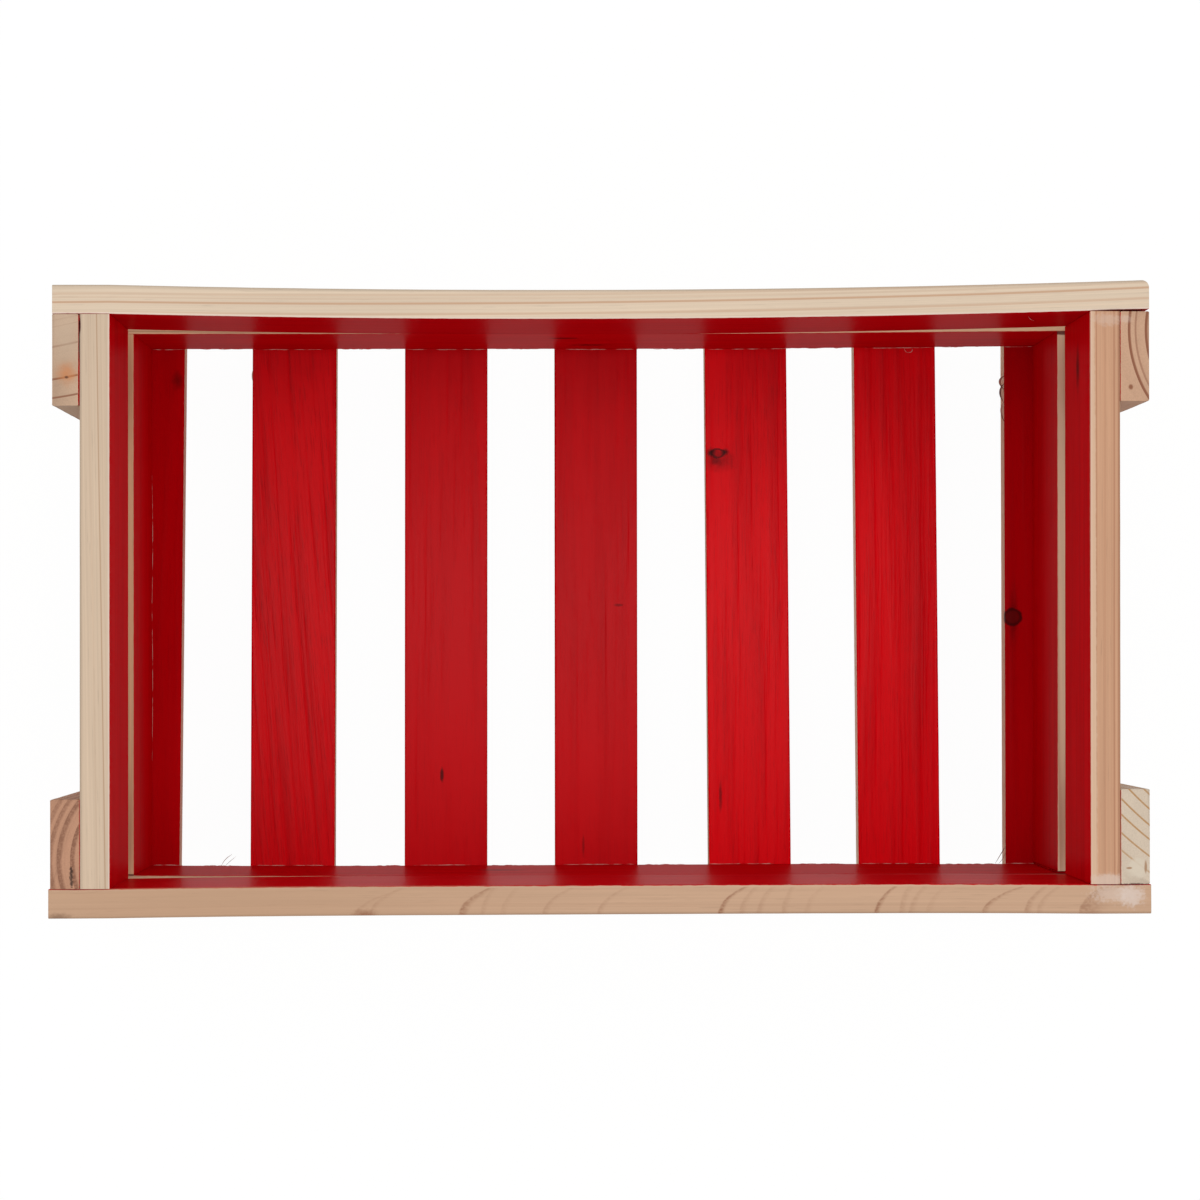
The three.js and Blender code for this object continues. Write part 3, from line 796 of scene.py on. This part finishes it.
class Graph:
    """Adds shader nodes to a tree and hands back their outputs."""

    def __init__(self, tree):
        self.tree = tree

    def feed(self, socket, value):
        """Links an output to a socket, or sets the socket's value."""
        if isinstance(value, bpy.types.NodeSocket):
            self.tree.links.new(value, socket)
        elif value is not None:
            socket.default_value = value

    def fill(self, sockets, values):
        """Feeds sockets by their names."""
        for name, value in values.items():
            self.feed(sockets[name], value)

    def add(self, kind, *values, output=0, **settings):
        """A node of a kind with its settings and its first inputs."""
        node = self.tree.nodes.new(f"ShaderNode{kind}")
        for setting, value in settings.items():
            setattr(node, setting, value)
        for socket, value in zip(node.inputs, values):
            self.feed(socket, value)
        return node.outputs[output]

    def math(self, operation, first, second=None):
        """A number from one or two numbers."""
        return self.add("Math", first, second, operation=operation)

    def times(self, first, *others):
        """The product of some numbers."""
        for other in others:
            first = self.math("MULTIPLY", first, other)
        return first

    def plus(self, first, *others):
        """The sum of some numbers."""
        for other in others:
            first = self.math("ADD", first, other)
        return first

    def rest(self, value):
        """What a number leaves of 1."""
        return self.math("SUBTRACT", 1.0, value)

    def vector(self, operation, first, second=None, output=0):
        """A vector, or the number in another output, from one or two vectors."""
        return self.add("VectorMath", first, second, operation=operation, output=output)

    def facing(self, normal, direction):
        """1 on faces square to a direction, on either side of a board, and 0 on faces along it."""
        turned = self.math("ABSOLUTE", self.vector("DOT_PRODUCT", normal, direction, 1))
        return self.ease(turned, 0.55, 0.85)

    def ease(self, value, start, finish):
        """A smooth step from 0 at start to 1 at finish."""
        return self.add("MapRange", value, start, finish, 0.0, 1.0, interpolation_type="SMOOTHSTEP")

    def band(self, value, rise, fall):
        """A smooth rise over one range of a value and a smooth fall over another."""
        return self.times(self.ease(value, *rise), self.rest(self.ease(value, *fall)))

    def spread(self, value, low, high):
        """A value from 0 to 1 stretched to the range from low to high."""
        return self.add("MapRange", value, 0.0, 1.0, low, high)

    def mix(self, factor, first, second, blend_type="MIX"):
        """A colour between two colours."""
        node = self.tree.nodes.new("ShaderNodeMix")
        node.data_type = "RGBA"
        node.blend_type = blend_type
        self.fill(node.inputs, {0: factor, 6: first, 7: second})
        return node.outputs[2]

    def noise(self, vector, stretch, detail, output=0):
        """Noise with a feature size for each direction, or one for all, as features per metre."""
        if not isinstance(stretch, tuple):
            stretch = (stretch, stretch, stretch)
        node = self.tree.nodes.new("ShaderNodeTexNoise")
        scaled = self.vector("MULTIPLY", vector, stretch)
        self.fill(node.inputs, {"Vector": scaled, "Scale": 1.0, "Detail": detail})
        return node.outputs[output]

    def bump(self, height, distance, strength=1.0, normal=None):
        """A normal tilted by a height."""
        node = self.tree.nodes.new("ShaderNodeBump")
        values = {"Height": height, "Distance": distance, "Strength": strength, "Normal": normal}
        self.fill(node.inputs, values)
        return node.outputs["Normal"]


def opaque(colour):
    """A colour with full opacity."""
    return (*colour, 1.0)


def new_material(name):
    """A material with the graph of its nodes and the sockets of its shader."""
    material = bpy.data.materials.new(name)
    material.use_nodes = True
    tree = material.node_tree
    return material, Graph(tree), tree.nodes["Principled BSDF"].inputs


PINE_INPUTS = {
    "Color": ("Pale", "Late", "Red", "Deep red"),
    "Vector": ("Axis", "Across"),
    "Float": ("Ring", "Share", "Strength", "Streak", "Push", "Seed", "Bleed", "Wander", "Glint", "Narrow"),
}
PINE_OUTPUTS = {"Color": ("Colour",), "Float": ("Stained", "Height", "Radius", "Streaks")}

# Each noise in the pine: features per metre across, inward and along the grain, or per ring for the years,
# and its detail.
PINE_NOISE = {
    "waver": ((24.0, 24.0, 3.0), 2.0),
    "years": ((0.55, 1.0, 1.0), 1.0),
    "fibre": ((1700.0, 1700.0, 11.0), 2.0),
    "tone": ((90.0, 90.0, 7.0), 3.0),
    "pore": ((1900.0, 1900.0, 75.0), 1.0),
    "ragged": ((900.0, 900.0, 260.0), 3.0),
    "broad": ((240.0, 240.0, 8.0), 5.0),
    "strokes": ((1800.0, 1800.0, 90.0), 2.0),
}


def pine_rings(graph, given, grain, own):
    """Distance from the pith and darkness of the even rings.

    The distance, wavered by noise, counts the rings. Each ring darkens slowly and ends at once, and some
    years are stronger than others.
    """
    waver = graph.noise(own, *PINE_NOISE["waver"], output="Color")
    waver = graph.vector("SUBTRACT", waver, (0.5, 0.5, 0.5))
    stray = graph.times(given["Wander"], RING_STRAY)
    waver = graph.vector("MULTIPLY", waver, graph.add("CombineXYZ", stray, stray, 0.0))
    flat = graph.vector("MULTIPLY", graph.vector("ADD", grain, waver), (1.0, 1.0, 0.0))
    reach = graph.vector("LENGTH", flat, output=1)
    radius = graph.math("DIVIDE", reach, given["Ring"])
    years = graph.noise(graph.add("CombineXYZ", radius, given["Seed"], 0.0), *PINE_NOISE["years"])
    years = graph.times(years, graph.times(given["Wander"], YEAR_STRAY))
    count = graph.plus(radius, years, given["Push"])
    phase = graph.math("FRACT", count)
    year = graph.add("CombineXYZ", graph.math("FLOOR", count), given["Seed"], 0.0)
    vigour = graph.add("TexWhiteNoise", year, output="Value")
    late = graph.band(phase, (graph.rest(given["Share"]), 0.94), (0.95, 1.0))
    return reach, graph.times(late, graph.spread(vigour, 0.45, 1.0))


def pine_group():
    """The pine pattern as a node group, made once.

    Fibre noise drawn out along the grain varies the tone between the rings, and sawn ends are darker. The
    narrow faces and the outer long edges are darkened as painted shade. The stain covers whatever lies no
    deeper than its ragged bleed, in broad streaks and short strokes along the grain, with a painted
    highlight on the pale lip beside it.
    """
    name = "crate_pine"
    if name in bpy.data.node_groups:
        return bpy.data.node_groups[name]
    tree = bpy.data.node_groups.new(name, "ShaderNodeTree")
    for in_out, sockets in (("INPUT", PINE_INPUTS), ("OUTPUT", PINE_OUTPUTS)):
        for kind, labels in sockets.items():
            for label in labels:
                tree.interface.new_socket(label, in_out=in_out, socket_type=f"NodeSocket{kind}")
    graph = Graph(tree)
    given = tree.nodes.new("NodeGroupInput").outputs
    grain = graph.add("Attribute", attribute_name="grain", output="Vector")
    own = graph.vector("ADD", grain, graph.add("CombineXYZ", given["Seed"], given["Seed"], given["Seed"]))
    reach, late = pine_rings(graph, given, grain, own)
    kinds = ("fibre", "tone", "pore", "ragged", "broad", "strokes")
    fibre, tone, pore, ragged, broad, strokes = (graph.noise(own, *PINE_NOISE[kind]) for kind in kinds)
    pore = graph.ease(pore, 0.64, 0.76)
    normal = graph.add("TexCoord", output="Normal")
    # Mask of the painted shade on the outer long edges.
    handled = graph.add("Attribute", attribute_name="handled", output="Fac")
    bare = graph.mix(graph.times(late, given["Strength"]), given["Pale"], given["Late"])
    level = graph.times(
        graph.spread(fibre, 0.86, 1.14),
        graph.spread(tone, 0.9, 1.1),
        graph.rest(graph.times(pore, 0.1)),
        graph.spread(graph.facing(normal, given["Axis"]), 1.0, 0.97),
        # Painted shade: the narrow faces are darkened by the narrow value.
        graph.spread(graph.facing(normal, given["Across"]), 1.0, given["Narrow"]),
        # Painted shade: the outer long edges are darkened.
        graph.spread(handled, 1.0, 0.65),
    )
    bare = graph.mix(1.0, bare, graph.add("CombineColor", level, level, level), "MULTIPLY")
    depth = graph.add("Attribute", attribute_name="stain", output="Fac")
    # Painted highlight: a pale band along the lip beside the stain, as strong as glint.
    lip = graph.band(depth, (0.12 * MM, 0.3 * MM), (0.5 * MM, 0.9 * MM))
    bare = graph.mix(graph.times(lip, given["Glint"]), bare, opaque(LIP_HIGHLIGHT))
    edge = graph.times(given["Bleed"], graph.spread(ragged, 0.05, 2.0))
    stained = graph.rest(graph.ease(graph.math("DIVIDE", depth, edge), 0.75, 1.1))
    broad = graph.ease(broad, 0.42, 0.68)
    strokes = graph.ease(strokes, 0.5, 0.72)
    streaks = graph.plus(graph.times(broad, 0.45), graph.times(strokes, 0.45))
    patchy = graph.spread(tone, -0.3, 0.3)
    drunk = graph.plus(graph.times(streaks, given["Streak"]), graph.times(late, 0.1), patchy)
    red = graph.mix(graph.add("Clamp", drunk), given["Red"], given["Deep red"])
    relief = graph.plus(graph.times(fibre, 0.6), graph.times(late, 0.5))
    results = {
        "Colour": graph.mix(stained, bare, red),
        "Stained": stained,
        "Height": graph.math("SUBTRACT", relief, graph.times(pore, 0.3)),
        "Radius": reach,
        "Streaks": broad,
    }
    graph.fill(tree.nodes.new("NodeGroupOutput").inputs, results)
    return tree


def in_metres(lengths):
    """Millimetres to metres, for a tuple of lengths."""
    return tuple(value * MM for value in lengths)


def add_marks(graph, marks):
    """Cover, rim and ring push of each mark: a ragged ellipsoid about its place, in Object coordinates."""
    place = graph.add("TexCoord", output="Object")
    found = []
    push = 0.0
    for mark in marks:
        offset = graph.vector("SUBTRACT", place, in_metres(mark.place))
        offset = graph.vector("DIVIDE", offset, in_metres(mark.reach))
        ragged = graph.spread(graph.noise(place, mark.grit, 3.0), -mark.ragged, mark.ragged)
        distance = graph.plus(graph.vector("LENGTH", offset, output=1), ragged)
        cover = graph.rest(graph.ease(distance, 1.0 - mark.softness, 1.0 + mark.softness / 2))
        found.append((mark, cover, graph.band(distance, *MARK_RIM)))
        bulge = graph.math("EXPONENT", graph.times(distance, distance, SWIRL_FALL))
        push = graph.plus(graph.times(bulge, mark.swirl), push)
    return found, push


def add_rings(graph, pine, group, colour):
    """Rings given one by one, broken up by noise where the board is dotted.

    Each darkens towards its distance from the pith, then ends within a fifth of a millimetre.
    """
    place = graph.add("TexCoord", output="Object")
    broken = graph.ease(graph.noise(place, 1100.0, 2.0), 0.42, 0.6)
    whole = graph.spread(broken, 1.0, 1.0 - pine.dotted)
    bare = graph.times(whole, graph.rest(group.outputs["Stained"]))
    for ring in pine.rings:
        edge = ring.reach * MM
        fade = ring.fade * MM
        rise = edge - fade, edge - 0.45 * fade
        band = graph.band(group.outputs["Radius"], rise, (edge, edge + RING_END))
        colour = graph.mix(graph.times(band, ring.strength, bare), colour, opaque(pine.late))
    return colour


def add_arcs(graph, board, pine, colour):
    """Rings cut across the rim: each bends along the board as it crosses, sharp on its left side only."""
    place = graph.add("TexCoord", output="Object")
    node = graph.tree.nodes.new("ShaderNodeSeparateXYZ")
    graph.feed(node.inputs[0], place)
    along, over, height = node.outputs
    outer = float(board.centre[1] - board.size[2] / 2)
    rim = float(board.centre[2] + board.size[1] / 2)
    crossed = graph.add("MapRange", over, outer, outer + float(board.size[2]), 0.0, 1.0)
    bend = graph.math("POWER", crossed, 2.2)
    broken = graph.ease(graph.noise(place, (500.0, 900.0, 500.0), 2.0), 0.35, 0.62)
    on_rim = graph.times(
        graph.spread(crossed, 1.0, 0.5),
        graph.ease(height, rim - 1.2 * MM, rim - 0.3 * MM),
        graph.spread(broken, 0.55, 1.15),
    )
    along = graph.plus(along, graph.spread(graph.noise(place, 110.0, 3.0), -1.2 * MM, 1.2 * MM))
    for arc in pine.arcs:
        start = graph.plus(graph.times(bend, arc.run * MM), arc.place * MM)
        offset = graph.math("SUBTRACT", along, start)
        band = graph.band(offset, (-0.7 * MM, 0.3 * MM), (0.3 * MM, arc.fade * MM))
        colour = graph.mix(graph.times(band, on_rim, arc.strength), colour, opaque(pine.late))
    return colour


def pine_material(context, board, pine, stained):
    """Pine for one board: the pine pattern, then the board's own rings, knots, smears and painted light and
    shade over it.
    """
    finish = context.scene.crate_finish
    kind = "red" if stained else "bare"
    material, graph, sockets = new_material(f"{kind}_{board.name}")
    group = graph.tree.nodes.new("ShaderNodeGroup")
    group.node_tree = pine_group()
    marks, push = add_marks(graph, pine.marks)
    on_floor = board.name in SLATS
    values = {
        "Pale": opaque(pine.pale),
        "Late": opaque(pine.late),
        "Red": opaque(value * pine.red for value in finish.red),
        "Deep red": opaque(value * pine.red for value in finish.deep_red),
        "Ring": pine.ring * MM,
        "Axis": tuple(board.along),
        "Across": tuple(board.across),
        "Push": push,
        "Seed": name_number(board.name) % 97 * 1.37,
        "Bleed": finish.bleed * (SLAT_BLEED if on_floor else pine.bleed),
    }
    for label in ("Share", "Strength", "Streak", "Wander", "Glint", "Narrow"):
        values[label] = getattr(pine, label.lower())
    graph.fill(group.inputs, values)
    colour = group.outputs["Colour"]
    if not stained:
        colour = add_arcs(graph, board, pine, add_rings(graph, pine, group, colour))
    for mark, cover, rim in marks:
        colour = graph.mix(graph.times(cover, mark.strength), colour, opaque(mark.colour))
        if mark.rim:
            colour = graph.mix(graph.times(rim, mark.rim), colour, opaque(KNOT_DARK))
    rough = graph.spread(group.outputs["Stained"], finish.bare_roughness, finish.stain_roughness)
    normal = graph.bump(group.outputs["Height"], RELIEF, 0.35 if stained else 0.5)
    looks = {
        "Base Color": colour,
        "Roughness": rough,
        "Normal": normal,
        "Specular IOR Level": finish.stain_specular if stained else finish.bare_specular,
        "Coat Weight": finish.seal * pine.film if stained else 0.0,
        "Coat Roughness": finish.seal_roughness if on_floor else finish.wall_roughness,
        "Coat Normal": graph.bump(group.outputs["Streaks"], RELIEF, normal=normal) if stained else None,
    }
    graph.fill(sockets, looks)
    return material


# Strands given one by one, in millimetres: start, middle, end and radius.
LOOSE_HAIRS = (
    ((188.3, -109.8, 11.8), (186.0, -112.9, 13.4), (183.1, -118.2, 12.2), 0.16),
    ((188.3, -112.4, 11.8), (187.0, -115.8, 12.8), (184.6, -118.2, 12.3), 0.11),
    ((-169.4, -117.7, 12.2), (-168.0, -114.4, 12.9), (-164.4, -112.4, 12.3), 0.13),
    ((-167.6, -117.7, 12.2), (-165.4, -115.4, 13.2), (-162.6, -113.4, 12.6), 0.09),
    ((188.3, 104.8, 11.6), (184.4, 102.6, 11.9), (188.3, 98.6, 11.6), 0.5),
    ((188.3, 101.2, 11.4), (184.8, 97.8, 11.6), (188.3, 92.4, 11.4), 0.45),
    ((188.3, 93.0, 11.6), (185.6, 89.4, 11.8), (188.3, 84.0, 11.6), 0.4),
    ((-154.2, 109.0, 11.4), (-156.0, 105.6, 11.7), (-154.2, 101.0, 11.4), 0.3),
)
GLUE_THREADS = (
    ((178.0, 117.62, 152.0), (180.4, 117.0, 141.0), (184.6, 117.75, 130.0), 0.15),
    ((142.8, 117.7, 12.2), (142.4, 115.7, 12.6), (144.6, 115.5, 12.2), 0.14),
    ((144.4, 115.5, 12.2), (146.8, 115.7, 12.6), (146.2, 117.7, 12.2), 0.14),
    ((-200.7, 60.0, 12.05), (-200.0, 30.0, 12.15), (-200.8, -4.0, 12.05), 0.12),
    ((-200.8, 4.0, 12.05), (-200.1, -30.0, 12.15), (-200.7, -70.0, 12.05), 0.12),
)
# Stain that dried in two open joints: the slit beside the back left post and the front right corner.
STAIN_BEADS = (
    ((-213.2, 117.2, 165.6), (-213.2, 115.8, 165.7), (-213.2, 114.4, 165.6), 0.26),
    ((-213.2, 102.0, 165.6), (-213.2, 91.0, 165.7), (-213.2, 80.2, 165.6), 0.26),
    ((-213.2, 96.0, 165.6), (-213.2, 88.0, 165.7), (-213.2, 79.9, 165.6), 0.26),
    ((200.7, -117.75, 81.4), (200.7, -117.75, 60.0), (200.7, -117.75, 40.0), 0.62),
    ((200.7, -117.75, 60.0), (200.7, -117.75, 36.0), (200.7, -117.75, 12.6), 0.62),
    ((199.6, -117.7, 81.3), (206.6, -117.7, 81.5), (213.0, -117.7, 81.3), 0.55),
)


def hand_strands(lines):
    """Control points and radius of strands given one by one, in metres."""
    return [(np.array(line[:3]) * MM, line[3] * MM) for line in lines]


def strand_surface(controls, radius, steps=12, sides=6):
    """One thin strand: a parabola between its two ends, pulled by a middle point, with a round section.

    The section's radius follows half a sine wave, from a quarter at the ends to all of it in the middle.
    """
    part = np.linspace(0, 1, steps)[:, None]
    start, middle, finish = np.array(controls)
    path = (1 - part) ** 2 * start + 2 * part * (1 - part) * middle + part ** 2 * finish
    tangent = np.gradient(path, axis=0)
    tangent /= np.linalg.norm(tangent, axis=1, keepdims=True)
    beside = np.cross(tangent, NEARLY_UP)
    beside /= np.linalg.norm(beside, axis=1, keepdims=True)
    lifted = np.cross(beside, tangent)
    turn = np.linspace(0, 2 * math.pi, sides, endpoint=False)[None, :, None]
    thickness = radius * (0.25 + 0.75 * np.sin(math.pi * part))[:, None]
    ring = np.cos(turn) * beside[:, None] + np.sin(turn) * lifted[:, None]
    return path[:, None] + thickness * ring


def wall_strand(random, board, into, start, reach, offsets, heights, radii):
    """A strand along a board's bent inner face, at distances off it and heights, with a random radius."""
    places = start + np.array((0.0, 0.5, 1.0)) * reach
    face = board.centre[1] + into * (board.size[2] / 2 + bow_inward(board, places - board.centre[0]))
    controls = np.stack((places, face + into * np.array(offsets) * MM, np.array(heights) * MM), axis=1)
    return controls, random.uniform(*radii) * MM


def joint_strands(random):
    """Broken glue lines where slats meet the long boards, and fuzz along the boards' sawn lower edges.

    A glue strand lies in the inner corner over a slat and wanders a little off the wall. A fuzz strand
    hangs off the lower edge over a gap.
    """
    strands = []
    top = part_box("bottom_slat_1")[1][2] / MM
    edges = [(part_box(name)[0][0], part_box(name)[1][0]) for name in SLATS]
    inner_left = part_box("left_lower_end_board")[1][0]
    inner_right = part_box("right_lower_end_board")[0][0]
    for side, into in (("front", 1), ("back", -1)):
        board = read_board(f"{side}_lower_board")
        for low, high in edges:
            for start in random.uniform(max(low, inner_left), min(high, inner_right) - 8 * MM, GLUE_COUNT):
                reach = random.uniform(4.0, 12.0) * MM
                offsets = (0.08, random.uniform(0.1, 0.5), 0.08)
                heights = (top + 0.05, top + random.uniform(0.05, 0.3), top + 0.05)
                strand = wall_strand(random, board, into, start, reach, offsets, heights, GLUE_RADII)
                strands.append(strand)
        for (_, low), (high, _) in zip(edges, edges[1:]):
            for start in random.uniform(low + 1 * MM, high - 7 * MM, FUZZ_COUNT):
                reach = random.uniform(2.0, 6.0) * MM
                offsets = (-0.1, random.uniform(0.0, 0.4), -0.1)
                heights = (top + 0.3, top, top + 0.3)
                strand = wall_strand(random, board, into, start, reach, offsets, heights, FUZZ_RADII)
                strands.append(strand)
    return strands


def make_strands(name, strands, material):
    """All strands of one kind as one piece."""
    surfaces = [strand_surface(controls, radius) for controls, radius in strands]
    rows, columns, _ = surfaces[0].shape
    faces = []
    for number in range(len(surfaces)):
        first = number * rows * columns
        faces += [[first + corner for corner in face] for face in grid_faces(rows, columns, True)]
    points = np.concatenate(surfaces).reshape(-1, 3)
    piece = new_piece(name, points, faces)
    piece.data.polygons.foreach_set("use_smooth", np.ones(len(faces), dtype=bool))
    piece.data.materials.append(material)


def fibre_material(name, first, second, specular=0.08):
    """Raised fibre, dried glue or dried stain: two tones in patches along the joints, slightly rough."""
    material, graph, sockets = new_material(name)
    place = graph.add("TexCoord", output="Object")
    patch = graph.ease(graph.noise(place, 170.0, 3.0), 0.42, 0.6)
    looks = {
        "Base Color": graph.mix(patch, opaque(first), opaque(second)),
        "Roughness": graph.spread(graph.noise(place, 2400.0, 2.0), 0.45, 0.75),
        "Specular IOR Level": specular,
    }
    graph.fill(sockets, looks)
    return material


def steel_material(context):
    """Zinc-coated wire: a metal whose roughness and tone vary in fine drawn lines and dull spots."""
    bright = context.scene.crate_finish.steel
    material, graph, sockets = new_material("zinc_staple")
    place = graph.add("TexCoord", output="Object")
    drawn = graph.noise(place, 2600.0, 3.0)
    spots = graph.ease(graph.noise(place, 900.0, 2.0), 0.52, 0.7)
    dull = opaque(value * 0.55 for value in bright)
    looks = {
        "Base Color": graph.mix(graph.times(spots, 0.7), opaque(bright), dull),
        "Roughness": graph.spread(drawn, 0.28, 0.52),
        "Normal": graph.bump(drawn, 0.03 * MM, 0.25),
        "Metallic": 1.0,
    }
    graph.fill(sockets, looks)
    return material


def hang_camera(context, stage):
    """The camera over the crate, looking down and a little turned."""
    data = bpy.data.cameras.new("overhead_camera")
    data.lens = stage.lens
    data.sensor_width = 36.0
    data.clip_end = 50.0
    camera = link_object("overhead_camera", data)
    place = Matrix.Translation(stage.camera_place)
    for angle, axis in zip(stage.camera_turn, "XYZ"):
        place = place @ Matrix.Rotation(angle, 4, axis)
    camera.matrix_world = place
    context.scene.camera = camera


def seen_rays(graph):
    """1 where the eye, a gloss or a glass looks, and 0 where light is gathered."""
    path = graph.tree.nodes.new("ShaderNodeLightPath").outputs
    seen = graph.math("MAXIMUM", path["Is Camera Ray"], path["Is Glossy Ray"])
    return graph.math("MAXIMUM", seen, path["Is Transmission Ray"])


def lay_floor(stage):
    """A wide square floor that is nearly plain white to the eye and keeps a soft shadow."""
    half = stage.floor_width / 2
    corners = [(x, y, -FLOOR_DEPTH) for x, y in ((-half, -half), (half, -half), (half, half), (-half, half))]
    mesh = bpy.data.meshes.new("floor")
    mesh.from_pydata(corners, [], [(0, 1, 2, 3)])
    floor = link_object("floor", mesh)
    material, graph, _ = new_material("white_floor")
    nodes = graph.tree.nodes
    nodes.remove(nodes["Principled BSDF"])
    lit = graph.add("BsdfDiffuse", FLOOR_GREY)
    white = graph.add("Emission", WHITE, FLOOR_STRENGTH)
    surface = graph.add("MixShader", graph.times(seen_rays(graph), stage.floor_white), lit, white)
    graph.feed(nodes["Material Output"].inputs["Surface"], surface)
    mesh.materials.append(material)


def light_stage(context, stage):
    """An even sky that is plain white to the eye, and one wide soft lamp overhead."""
    world = bpy.data.worlds.new("soft_sky")
    world.use_nodes = True
    graph = Graph(world.node_tree)
    strength = graph.spread(seen_rays(graph), stage.sky, 1.0)
    graph.fill(graph.tree.nodes["Background"].inputs, {"Color": WHITE, "Strength": strength})
    context.scene.world = world
    data = bpy.data.lights.new("soft_lamp", "AREA")
    data.shape = "RECTANGLE"
    data.size = stage.lamp_width
    data.size_y = stage.lamp_depth
    data.energy = stage.lamp_power
    lamp = link_object("soft_lamp", data)
    lamp.location = (0.0, LAMP_OFFSET, stage.lamp_height)


class MakesBoards:
    """Makes a dressed board for each of an operator's names."""

    def execute(self, context):
        for name in self.names:
            make_board(context, name)
        return {"FINISHED"}


class MakeSideBoards(MakesBoards, bpy.types.Operator):
    """Makes the two long boards on each side"""

    bl_idname = "crate.make_side_boards"
    bl_label = "Side boards"
    names = SIDE_BOARDS
    slot_name = "side_boards"


class MakeEndBoards(MakesBoards, bpy.types.Operator):
    """Makes the two short boards at each end"""

    bl_idname = "crate.make_end_boards"
    bl_label = "End boards"
    names = END_BOARDS
    slot_name = "end_boards"


class MakePosts(MakesBoards, bpy.types.Operator):
    """Makes the four corner posts"""

    bl_idname = "crate.make_posts"
    bl_label = "Corner posts"
    names = POSTS
    slot_name = "corner_posts"


class MakeSlats(MakesBoards, bpy.types.Operator):
    """Makes the seven floor slats"""

    bl_idname = "crate.make_slats"
    bl_label = "Floor slats"
    names = SLATS
    slot_name = "floor_slats"


class AddFibres(bpy.types.Operator):
    """Adds dried glue and stain, raised fibres and loose hairs along the joints"""

    bl_idname = "crate.add_fibres"
    bl_label = "Glue and fibres"

    def execute(self, context):
        finish = context.scene.crate_finish
        random = np.random.default_rng(STRAND_SEED)
        glue = fibre_material("dried_glue", finish.glue, finish.red)
        make_strands("joint_glue", joint_strands(random) + hand_strands(GLUE_THREADS), glue)
        hair = fibre_material("wood_hair", shade(178, 134, 120), shade(112, 74, 66))
        make_strands("loose_hairs", hand_strands(LOOSE_HAIRS), hair)
        stain = fibre_material("dried_stain", shade(186, 0, 10), shade(150, 0, 8), 0.0)
        make_strands("joint_stain", hand_strands(STAIN_BEADS), stain)
        return {"FINISHED"}


class FinishStaples(bpy.types.Operator):
    """Gives the staples their zinc finish"""

    bl_idname = "crate.finish_staples"
    bl_label = "Staples"

    def execute(self, context):
        zinc = steel_material(context)
        for name in STAPLES:
            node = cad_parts[name]
            if not node.material_slots:
                raise RuntimeError(f"{name} has no material slot")
            for slot in node.material_slots:
                slot.material = zinc
        return {"FINISHED"}


class SetStage(bpy.types.Operator):
    """Sets the camera, the floor and the lights"""

    bl_idname = "crate.set_stage"
    bl_label = "Stage"

    def execute(self, context):
        stage = context.scene.crate_stage
        hang_camera(context, stage)
        lay_floor(stage)
        light_stage(context, stage)
        context.scene.view_settings.view_transform = "Standard"
        return {"FINISHED"}


OPERATORS = (MakeSideBoards, MakeEndBoards, MakePosts, MakeSlats, AddFibres, FinishStaples, SetStage)
GROUPS = {"crate_boards": CrateBoards, "crate_finish": CrateFinish, "crate_stage": CrateStage}


class CratePanel(bpy.types.Panel):
    """Lists the crate's steps and values"""

    bl_idname = "VIEW3D_PT_crate"
    bl_label = "Pine bottle crate"
    bl_space_type = "VIEW_3D"
    bl_region_type = "UI"
    bl_category = "Crate"

    def draw(self, context):
        for operator in OPERATORS:
            self.layout.operator(operator.bl_idname)
        for name in GROUPS:
            values = getattr(context.scene, name)
            box = self.layout.box()
            for key in values.__annotations__:
                box.prop(values, key)


def register():
    """Registers the groups, the operators and the panel."""
    for name, group in GROUPS.items():
        bpy.utils.register_class(group)
        setattr(bpy.types.Scene, name, PointerProperty(type=group))
    for item in (*OPERATORS, CratePanel):
        bpy.utils.register_class(item)


def unregister():
    """Removes them again."""
    for item in (CratePanel, *reversed(OPERATORS)):
        bpy.utils.unregister_class(item)
    for name, group in GROUPS.items():
        delattr(bpy.types.Scene, name)
        bpy.utils.unregister_class(group)


def main():
    """Builds the crate step by step."""
    register()
    bpy.ops.crate.set_stage()
    bpy.ops.crate.make_side_boards()
    bpy.ops.crate.make_end_boards()
    bpy.ops.crate.make_posts()
    bpy.ops.crate.make_slats()
    bpy.ops.crate.add_fibres()
    bpy.ops.crate.finish_staples()


if __name__ == "__main__":
    main()
